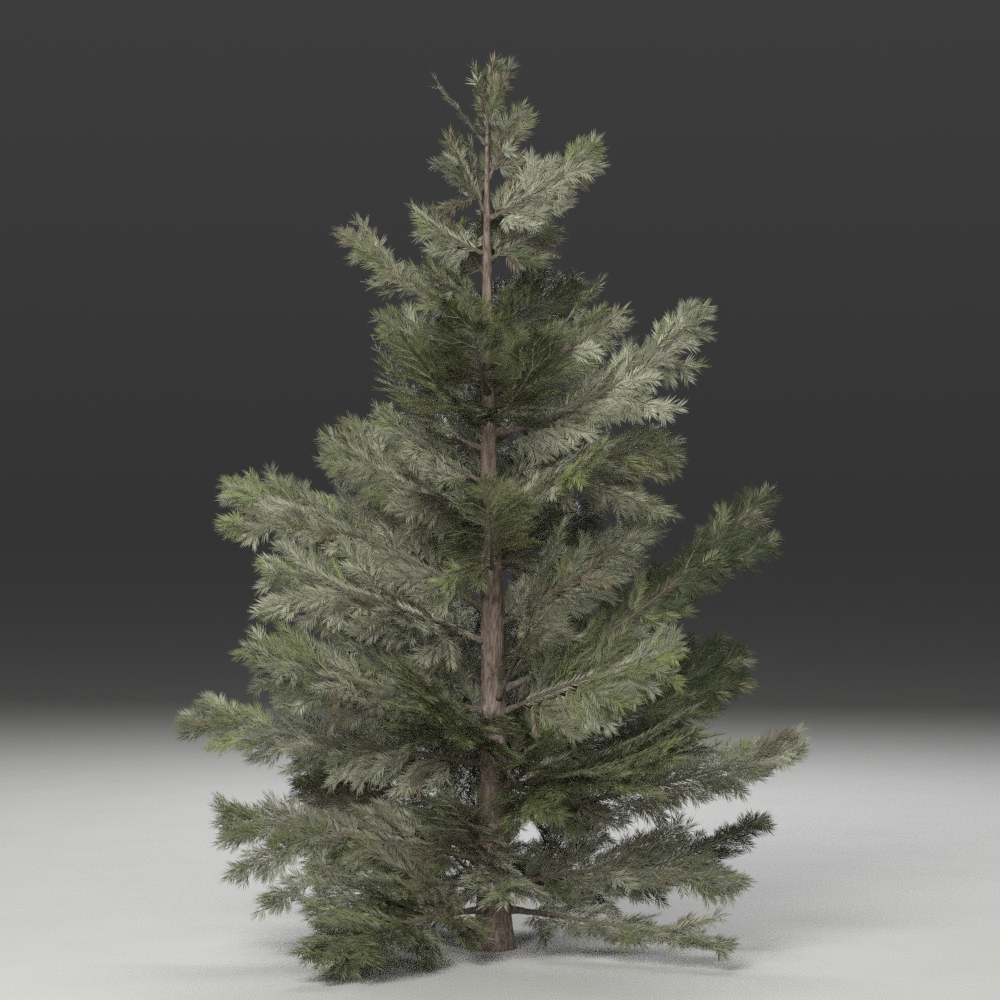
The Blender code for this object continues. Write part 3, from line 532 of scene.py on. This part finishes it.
# ---------------------------------------------------------------- meshes from arrays
class Triangles:
    """Points and triangles gathered shoot by shoot, each triangle with its material's number."""

    def __init__(self):
        self.shoots = []
        self.count = 0

    def add(self, points, faces, look=0):
        self.shoots.append((points, faces, look))
        self.count += len(faces)

    def take(self, other):
        self.shoots += other.shoots
        self.count += other.count

    def mesh(self, name, smooth=False):
        sizes = [len(points) for points, _, _ in self.shoots]
        starts = np.concatenate([[0], np.cumsum(sizes)[:-1]])
        points = np.concatenate([points for points, _, _ in self.shoots])
        faces = np.concatenate([faces + start for (_, faces, _), start in zip(self.shoots, starts)])
        looks = np.concatenate([np.full(len(faces), look) for _, faces, look in self.shoots])
        mesh = bpy.data.meshes.new(name)
        mesh.vertices.add(len(points))
        mesh.vertices.foreach_set("co", points.astype(np.float32).ravel())
        mesh.loops.add(faces.size)
        mesh.loops.foreach_set("vertex_index", faces.astype(np.int32).ravel())
        mesh.polygons.add(len(faces))
        mesh.polygons.foreach_set("loop_start", np.arange(0, faces.size, 3, dtype=np.int32))
        mesh.polygons.foreach_set("loop_total", np.full(len(faces), 3, dtype=np.int32))
        mesh.polygons.foreach_set("material_index", looks.astype(np.int32))
        mesh.polygons.foreach_set("use_smooth", np.full(len(faces), smooth))
        mesh.update(calc_edges=True)
        return mesh


def shell_faces(rows, sides):
    """Two triangles for each cell of a tube with this many rows and sides."""
    first = (np.arange(rows - 1) * sides)[:, None] + np.arange(sides)
    after = (np.arange(rows - 1) * sides)[:, None] + (np.arange(sides) + 1) % sides
    lower = np.stack([first, after, after + sides], axis=-1)
    upper = np.stack([first, after + sides, first + sides], axis=-1)
    return np.concatenate([lower.reshape(-1, 3), upper.reshape(-1, 3)])


def cap_faces(start, sides, outward):
    """A fan over one ring, with its first point as the hub."""
    fan = np.array([[start, start + side, start + side + 1] for side in range(1, sides - 1)])
    return fan if outward else fan[:, ::-1]


def tube(path, radii, sides):
    """A closed tube along a path, with one radius, or one for each side, for each of its points."""
    along = unit(np.gradient(path, axis=0))
    aside = unit(np.cross(along, UP_OR_SIDE[abs(along[0][2]) > STEEP]))
    above = np.cross(aside, along)
    turns = 2 * math.pi * np.arange(sides) / sides
    spokes = aside[:, None] * np.cos(turns)[None, :, None] + above[:, None] * np.sin(turns)[None, :, None]
    sizes = radii[:, None] if radii.ndim == 1 else radii
    points = (path[:, None] + spokes * sizes[:, :, None]).reshape(-1, 3)
    last = (len(path) - 1) * sides
    faces = np.concatenate([shell_faces(len(path), sides), cap_faces(0, sides, False),
                            cap_faces(last, sides, True)])
    return points, faces


def place(name, mesh, materials):
    """One piece of the visual model, on the plant's only body."""
    piece = bpy.data.objects.new(name, mesh)
    for look in materials:
        mesh.materials.append(look)
    bpy.context.scene.collection.objects.link(piece)
    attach(piece, "root")
    return piece


# ---------------------------------------------------------------- needles
def needles_on(path, across, normal, rng, length):
    """A double row of needles along a shoot, closing over its tip: four points and two faces each."""
    steps = np.diff(path, axis=0)
    lengths = np.linalg.norm(steps, axis=1)
    total = lengths.sum()
    count = max(NEEDLE_LEAST, int(total / NEEDLE_STEP))
    places = (np.arange(count) + 0.5 + NEEDLE_JITTER * (rng.random(count) - 0.5)) * total / count
    ends = np.concatenate([[0], np.cumsum(lengths)])
    part = np.clip(np.searchsorted(ends, places, side="right") - 1, 0, len(lengths) - 1)
    root = path[part] + steps[part] * ((places - ends[part]) / lengths[part])[:, None]
    along = unit(steps[part])
    aside = unit(across - along * (along * across).sum(axis=1)[:, None])
    above = np.cross(along, aside)
    above *= np.sign((above * normal).sum(axis=1))[:, None]

    share = places / total
    rise = rng.normal(NEEDLE_RISE, NEEDLE_RISE_SPREAD, count)
    angle = np.radians(rng.normal(NEEDLE_ANGLE, NEEDLE_ANGLE_SPREAD, count))
    angle *= 1 - NEEDLE_CLOSING * share ** CLOSING_POWER
    side = np.where(np.arange(count) % 2 == 0, 1.0, -1.0)
    out = aside * (side * np.cos(rise))[:, None] + above * np.sin(rise)[:, None]
    ahead = along * np.cos(angle)[:, None] + out * np.sin(angle)[:, None]
    shrunk = 1 - NEEDLE_SHRINK * share ** SHRINK_POWER
    size = (length * rng.uniform(*NEEDLE_LENGTHS, count) * shrunk)[:, None]
    wide = unit(np.cross(ahead, above))
    keel = unit(np.cross(wide, ahead)) * NEEDLE_KEEL
    middle = root + ahead * size * NEEDLE_WAIST + keel

    points = np.empty((count, 4, 3))
    points[:, 0] = root
    points[:, 1] = middle - wide * NEEDLE_HALF
    points[:, 2] = middle + wide * NEEDLE_HALF
    points[:, 3] = root + ahead * size + along * size * NEEDLE_BOW
    points = points[points[:, :, 2].min(axis=1) > GROUND_CLEARANCE]
    first = 4 * np.arange(len(points))[:, None]
    faces = np.concatenate([first + np.array([[0, 1, 3]]), first + np.array([[0, 3, 2]])])
    return points.reshape(-1, 3), faces


def dealt(tint, share, height, rng):
    """The material number of one spray: its frond's mix, younger at the tip, and older or in painted
    shade inside.
    """
    names = [name for name, _ in MIXES[tint]]
    weights = np.array([weight for _, weight in MIXES[tint]], dtype=float)
    chosen = names[rng.choice(len(names), p=weights / weights.sum())]
    if share > YOUNG_FROM and rng.random() < YOUNG_CHANCE:
        # the young tips of a frond in painted shade keep its near-black green
        chosen = "dark" if tint == "dark" else "young"
    # inner sprays turn brown with age, or take the near-black green of painted shade
    if share < OLD_UNTIL and rng.random() < OLD_CHANCE:
        chosen = "brown" if rng.random() < OLD_BROWN else "dark"
    shades = np.array(SHADE_WEIGHTS_LOW if height < LOW_UNTIL else SHADE_WEIGHTS)
    return list(TINTS).index(chosen) * len(SHADES) + rng.choice(len(SHADES), p=shades / shades.sum())


# ---------------------------------------------------------------- growth
def grow_twiglets(path, frame_out, tint, own_look, place_of, rng, needles, twigs):
    """The smallest shoots, on alternate sides of a twig."""
    aside, normal = frame_out
    length = np.linalg.norm(np.diff(path, axis=0), axis=1).sum()
    count = int(length / TWIGLET_STEP)
    shares = np.linspace(0, 1, len(path))
    directions = unit(np.gradient(path, axis=0))
    for index in range(count):
        at = (index + TWIGLET_FIRST + TWIGLET_JITTER * rng.random()) / (count + TWIGLET_SPARE)
        if at > TWIGLET_LAST:
            continue
        reach = TWIGLET_SHARE * length * (1 - at) * rng.uniform(*TWIGLET_SHARES)
        reach = min(TWIGLET_MOST, max(TWIGLET_LEAST, reach))
        angle = math.radians(rng.normal(TWIGLET_ANGLE, TWIGLET_ANGLE_SPREAD))
        lift = rng.normal(0, TWIGLET_LIFT)
        root = np.array([np.interp(at, shares, path[:, axis]) for axis in range(3)])
        along = directions[min(len(path) - 1, int(at * len(path)))]
        side = 1 if index % 2 else -1
        out = aside * (side * math.cos(lift)) + normal * math.sin(lift)
        ahead = unit(along * math.cos(angle) + out * math.sin(angle))
        far = np.linspace(0, 1, TWIGLET_POINTS)[:, None]
        bend = along * TWIGLET_LEAN - normal * TWIGLET_BOW
        shoot = root + ahead * reach * far + bend * reach * far ** 2
        if shoot[:, 2].min() < GROUND_CLEARANCE:
            continue
        bark = int(place_of(at) > YOUNG_WOOD_FROM)
        twigs.add(*tube(shoot[[0, -1]], np.array(TWIGLET_RADII), SHOOT_SIDES), look=bark)
        look = own_look if rng.random() < OWN_TINT else dealt(tint, place_of(at), root[2], rng)
        needles.add(*needles_on(shoot, np.cross(ahead, normal), normal, rng, NEEDLE_LENGTH), look=look)


def grow_twig(limb, tint, share, side, length, turns, rng, needles, twigs):
    """One side twig with its needles and its own shoots; it ends no further out than the spine does."""
    frame_here = spine_frame(limb, share)
    room = (spine_end(limb) - share) * (spine_point(limb, 1) - spine_point(limb, 0)).length
    length = min(length, OVERHANG + TWIG_LEAST + room / math.cos(math.radians(turns[0])))
    ahead, aside, normal = (np.array(direction) for direction in turned_frame(frame_here, side, turns))
    root, along = np.array(frame_here[0]), np.array(frame_here[1])
    length = max(TWIG_LEAST, length * rng.uniform(*TWIG_SHARES) - OVERHANG)
    far = np.linspace(0, 1, TWIG_POINTS)[:, None]
    bend = along * TWIG_LEAN + aside * rng.normal(0, TWIG_CURL) - normal * TWIG_BOW
    path = root + ahead * length * far + bend * length * far ** 2
    if path[:, 2].min() < GROUND_CLEARANCE:
        return

    def place_of(at):
        return share + at * length / limb.reach

    look = dealt(tint, place_of(TWIG_LOOK_PLACE), root[2], rng)
    bark = int(share > YOUNG_WOOD_FROM)
    twigs.add(*tube(path, np.linspace(*TWIG_RADII, TWIG_POINTS), SHOOT_SIDES), look=bark)
    needles.add(*needles_on(path[1:], aside, normal, rng, NEEDLE_LENGTH), look=look)
    grow_twiglets(path, (aside, normal), tint, look, place_of, rng, needles, twigs)


def spine_end(limb):
    """The share of a spine at which its growth ends, to leave room for the last needles."""
    return max(SPINE_LEAST, 1 - OVERHANG / max(limb.reach, limb.rise))


def grow_limb(limb, tint, rng, needles, twigs):
    """Everything finer than the spine of one frond or fork."""
    limb = limb._replace(bare=LEAFY_FROM * limb.bare)
    shares = np.linspace(limb.bare, spine_end(limb), SPINE_POINTS)
    path = np.array([spine_point(limb, share) for share in shares])
    _, _, across, normal = spine_frame(limb, SPINE_PLACE)
    look = dealt(tint, SPINE_LOOK_PLACE, path[0][2], rng)
    needles.add(*needles_on(path[1:], np.array(across), np.array(normal), rng, NEEDLE_LENGTH), look=look)
    rule = random.Random(7 * limb.number + round(100 * limb.reach))
    for share, side, length, turns in side_twigs(limb, rule, TWIG_STEP):
        grow_twig(limb, tint, share, side, length, turns, rng, needles, twigs)


# ---------------------------------------------------------------- bark
def furrows(point):
    """0 in a furrow of the bark to 1 on a ridge, at a point in widths of a furrow."""
    stretched = Vector((point.x, point.y, point.z / FURROW_STRETCH))
    slow = Vector((point.x, point.y, point.z / WANDER_STRETCH)) * WANDER_PITCH
    wander = Vector((FURROW_WANDER, FURROW_WANDER, 0)) * noise.noise(slow)
    broad = 1 - abs(noise.noise(stretched + wander)) * FURROW_SHARPNESS
    fine = 1 - abs(noise.noise((stretched + wander) * FINE_FURROWS + FINE_SHIFT)) * FINE_SHARPNESS
    return min(1.0, max(0.0, RIDGE_TOP - BROAD_SHARE * max(broad, 0) - FINE_SHARE * max(fine, 0)))


def trunk_mesh():
    """The trunk with furrows cut into it and a swelling round the root of every limb."""
    rows = round(TRUNK_HEIGHT / BARK_ROW) + 1
    roots = [(frond.height, math.radians(frond.azimuth)) for frond in FRONDS if frond.number > 1]
    points = np.empty((rows, BARK_SIDES, 3))
    depths = np.empty((rows, BARK_SIDES))
    for row in range(rows):
        height = TRUNK_HEIGHT * row / (rows - 1)
        centre = trunk_centre(height)
        radius = trunk_radius(height)
        slim = min(1, radius / trunk_radius(FULL_DEPTH_HEIGHT))
        near = [(root, turn) for root, turn in roots if abs(root - height) < COLLAR_REACH * COLLAR_SIZE]
        for side in range(BARK_SIDES):
            turn = 2 * math.pi * side / BARK_SIDES
            out = Vector((math.cos(turn), math.sin(turn), 0))
            lobes = FLARE_LOBE_DEPTH * math.cos(FLARE_LOBES * turn) * math.exp(-height / FLARE_HEIGHT)
            around = out * radius + Vector((0, 0, height))
            ridge = furrows(around / FURROW_WIDTH)
            plates = noise.noise(around / FURROW_WIDTH / PLATE_WIDTH)
            swell = 0.0
            for root, way in near:
                gap = abs((turn - way + math.pi) % (2 * math.pi) - math.pi) * radius
                swell += COLLAR_RISE * math.exp(-(gap ** 2 + (root - height) ** 2) / COLLAR_SIZE ** 2)
            relief = PLATE_DEPTH * plates - FURROW_DEPTH * (1 - ridge)
            size = radius * (1 + lobes) + (relief + swell) * slim
            points[row, side] = centre + out * size
            depths[row, side] = ridge
    faces = np.concatenate([shell_faces(rows, BARK_SIDES), cap_faces(0, BARK_SIDES, False),
                            cap_faces((rows - 1) * BARK_SIDES, BARK_SIDES, True)])
    bark = Triangles()
    bark.add(points.reshape(-1, 3), faces)
    mesh = bark.mesh("trunk_bark", smooth=True)
    store = mesh.attributes.new("ridge", "FLOAT", "POINT")
    store.data.foreach_set("value", depths.ravel().astype(np.float32))
    return mesh


def limb_tube(limb):
    """One limb from inside the trunk to its tip, uneven and thicker at its root."""
    sunk = 0 if isinstance(limb, Fork) else LIMB_SUNK
    length = (spine_point(limb, 1) - spine_point(limb, 0)).length
    rows = max(LIMB_LEAST_ROWS, round(length / LIMB_ROW))
    shares = np.linspace(0, spine_end(limb), rows)
    path = np.array([spine_point(limb, share) for share in shares])
    path[0] -= unit(path[1] - path[0]) * sunk
    radii = np.empty((rows, LIMB_SIDES))
    for row, share in enumerate(shares):
        flare = 1 + LIMB_FLARE * math.exp(-share * length / LIMB_FLARE_LENGTH)
        pointed = max(0, share - LIMB_POINT_FROM) / (1 - LIMB_POINT_FROM)
        radius = limb_radius(limb, share) * flare * (1 - (1 - LIMB_POINT_LEFT) * pointed)
        for side in range(LIMB_SIDES):
            spot = Vector(path[row]) / LIMB_KNOB_SIZE + Vector((side, 2 * side, 0))
            radii[row, side] = radius * (1 + LIMB_KNOBS * noise.noise(spot))
    points, faces = tube(path, radii, LIMB_SIDES)
    row_of_face = np.clip(faces.min(axis=1) // LIMB_SIDES, 0, rows - 1)
    green = shares[row_of_face] * limb.reach > LIMB_GREEN_FROM
    return points, faces, green.astype(int)


# ---------------------------------------------------------------- materials
def new_material(name, colour, roughness, specular=SPECULAR):
    made = bpy.data.materials.new(name)
    made.use_nodes = True
    surface = made.node_tree.nodes["Principled BSDF"]
    surface.inputs["Base Color"].default_value = (*colour, 1)
    surface.inputs["Roughness"].default_value = roughness
    surface.inputs["Specular IOR Level"].default_value = specular
    return made, made.node_tree, surface


def needle_materials():
    """A plain colour for each tint in each strength: sprays are dealt these."""
    made = []
    for tint, colour in TINTS.items():
        for shade in SHADES:
            dyed = tuple(shade * channel for channel in colour)
            name = f"needles_{tint}_{round(100 * shade)}"
            made.append(new_material(name, dyed, NEEDLE_ROUGHNESS)[0])
    return made


def twig_materials():
    old = new_material("twig_old", *OLD_TWIG)[0]
    young = new_material("twig_young", *YOUNG_TWIG)[0]
    return [old, young]


def ramp(tree, source, stops):
    """A colour ramp fed by a socket, with (place, colour) stops."""
    node = tree.nodes.new("ShaderNodeValToRGB")
    while len(node.color_ramp.elements) < len(stops):
        node.color_ramp.elements.new(1)
    for element, (place_at, colour) in zip(node.color_ramp.elements, stops):
        element.position = place_at
        element.color = (*colour, 1)
    tree.links.new(source, node.inputs["Fac"])
    return node.outputs["Color"]


def grain(tree, scale, stretch):
    """Noise drawn out along the trunk, in the object's own metres."""
    where = tree.nodes.new("ShaderNodeTexCoord")
    mapping = tree.nodes.new("ShaderNodeMapping")
    mapping.inputs["Scale"].default_value = (scale, scale, scale / stretch)
    tree.links.new(where.outputs["Object"], mapping.inputs["Vector"])
    pattern = tree.nodes.new("ShaderNodeTexNoise")
    pattern.inputs["Scale"].default_value = 1
    pattern.inputs["Detail"].default_value = GRAIN_DETAIL
    tree.links.new(mapping.outputs["Vector"], pattern.inputs["Vector"])
    return pattern.outputs["Fac"]


def multiplied(tree, first, second):
    node = tree.nodes.new("ShaderNodeMix")
    node.data_type = "RGBA"
    node.blend_type = "MULTIPLY"
    node.inputs["Factor"].default_value = 1
    tree.links.new(first, node.inputs["A"])
    tree.links.new(second, node.inputs["B"])
    return node.outputs["Result"]


def roughen(tree, surface, height, distance):
    bump = tree.nodes.new("ShaderNodeBump")
    bump.inputs["Strength"].default_value = BUMP_STRENGTH
    bump.inputs["Distance"].default_value = distance
    tree.links.new(height, bump.inputs["Height"])
    tree.links.new(bump.outputs["Normal"], surface.inputs["Normal"])


def trunk_material():
    made, tree, surface = new_material("trunk_bark", TRUNK_RIDGES[1][1], BARK_ROUGHNESS)
    relief = tree.nodes.new("ShaderNodeAttribute")
    relief.attribute_name = "ridge"
    ridges = ramp(tree, relief.outputs["Fac"], TRUNK_RIDGES)
    patches = ramp(tree, grain(tree, *PATCH_GRAIN), TRUNK_PATCHES)
    tree.links.new(multiplied(tree, ridges, patches), surface.inputs["Base Color"])
    roughen(tree, surface, grain(tree, *BARK_GRAIN), BARK_BUMP)
    return made


def bough_material():
    made, tree, surface = new_material("bough_bark", BOUGH_STREAKS[1][1], BARK_ROUGHNESS)
    colour = ramp(tree, grain(tree, *BOUGH_GRAIN), BOUGH_STREAKS)
    tree.links.new(colour, surface.inputs["Base Color"])
    roughen(tree, surface, grain(tree, *BOUGH_FINE_GRAIN), BOUGH_BUMP)
    return made


def floor_material():
    made, tree, surface = new_material("studio_floor", FLOOR_COLOUR, FLOOR_ROUGHNESS, specular=0)
    colour = ramp(tree, grain(tree, *FLOOR_GRAIN), FLOOR_PATCHES)
    tree.links.new(colour, surface.inputs["Base Color"])
    return made


# ---------------------------------------------------------------- floor, lights and camera
def add_stage():
    mesh = bpy.data.meshes.new("studio_floor")
    half = FLOOR_SIZE / 2
    corners = [(-half, -half, 0), (half, -half, 0), (half, half, 0), (-half, half, 0)]
    mesh.from_pydata(corners, [], [(0, 1, 2, 3)])
    mesh.materials.append(floor_material())
    floor = bpy.data.objects.new("studio_floor", mesh)
    bpy.context.scene.collection.objects.link(floor)
    floor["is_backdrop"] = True


def add_lights():
    """The lamps, the dim surroundings and the plain view of colours."""
    for number, (at, size, power, colour) in enumerate(LIGHTS):
        lamp = bpy.data.lights.new(f"studio_light_{number}", "AREA")
        lamp.size = size
        lamp.energy = power
        lamp.color = colour
        holder = bpy.data.objects.new(f"studio_light_{number}", lamp)
        holder.location = at
        holder.rotation_euler = (AIM - Vector(at)).to_track_quat("-Z", "Y").to_euler()
        bpy.context.scene.collection.objects.link(holder)
    world = bpy.data.worlds.new("studio")
    world.use_nodes = True
    tree = world.node_tree
    where = tree.nodes.new("ShaderNodeTexCoord")
    parts = tree.nodes.new("ShaderNodeSeparateXYZ")
    tree.links.new(where.outputs["Generated"], parts.inputs["Vector"])
    sky = ramp(tree, parts.outputs["Z"], ((0, WORLD_HORIZON), (WORLD_ABOVE_FROM, WORLD_ABOVE)))
    tree.links.new(sky, tree.nodes["Background"].inputs["Color"])
    bpy.context.scene.world = world
    bpy.context.scene.view_settings.view_transform = "Standard"
    bpy.context.scene.cycles.use_denoising = False


def add_camera():
    camera = bpy.data.cameras.new("camera")
    camera.lens = LENS
    camera.sensor_width = SENSOR
    holder = bpy.data.objects.new("camera", camera)
    holder.location = CAMERA_AT
    holder.rotation_euler = (math.radians(90), 0, 0)
    bpy.context.scene.collection.objects.link(holder)
    bpy.context.scene.camera = holder


# ---------------------------------------------------------------- pieces
def limbs_of(frond):
    return [frond] + [fork for fork in FORKS if fork.number == frond.number]


def add_wood():
    trunk = place("trunk_bark", trunk_mesh(), [trunk_material()])
    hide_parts("trunk")
    limbs = Triangles()
    for frond in FRONDS:
        for limb in limbs_of(frond):
            limbs.add(*limb_tube(limb))
    looks = [bough_material(), new_material("green_bark", *GREEN_BARK)[0]]
    piece = place("limbs", limbs.mesh("limbs", smooth=True), looks)
    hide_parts(*[f"bough_{frond.number:02d}" for frond in FRONDS if frond.bough])


def add_crown():
    """Needles in pieces by their fronds' tint, and twigs in pieces of their own."""
    looks = needle_materials()
    twig_looks = twig_materials()
    all_twigs = [Triangles()]
    grown = {tint: [] for tint in MIXES}
    for frond in FRONDS:
        rng = np.random.default_rng(frond.number)
        needles = Triangles()
        twigs = Triangles()
        for limb in limbs_of(frond):
            grow_limb(limb, frond.tint, rng, needles, twigs)
        if all_twigs[-1].count + twigs.count > FACES_PER_PIECE:
            all_twigs.append(Triangles())
        all_twigs[-1].take(twigs)
        grown[frond.tint].append((frond, needles))
    for number, twigs in enumerate(all_twigs, 1):
        place(f"twigs_{number}", twigs.mesh("twigs"), twig_looks)
    for tint, fronds in grown.items():
        add_needles(tint, fronds, looks)


def add_needles(tint, fronds, looks):
    """The needles of all fronds of one tint, in pieces that stay small enough."""
    groups = [[]]
    for frond, needles in fronds:
        size = sum(other.count for _, other in groups[-1])
        if groups[-1] and size + needles.count > FACES_PER_PIECE:
            groups.append([])
        groups[-1].append((frond, needles))
    for number, group in enumerate(groups, 1):
        joined = Triangles()
        for _, needles in group:
            joined.take(needles)
        piece = place(f"needles_{tint}_{number}", joined.mesh("needles"), looks)
        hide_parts(*[f"foliage_{frond.number:02d}" for frond, _ in group])


def report_size():
    """Works out the boxes of the solids and of the looks."""
    boxes = {"cad": cad_bounds, "visual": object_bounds()}
    plain = {name: [[float(value) for value in corner] for corner in box] for name, box in boxes.items()}


add_stage()
add_lights()
add_camera()
add_wood()
add_crown()
report_size()
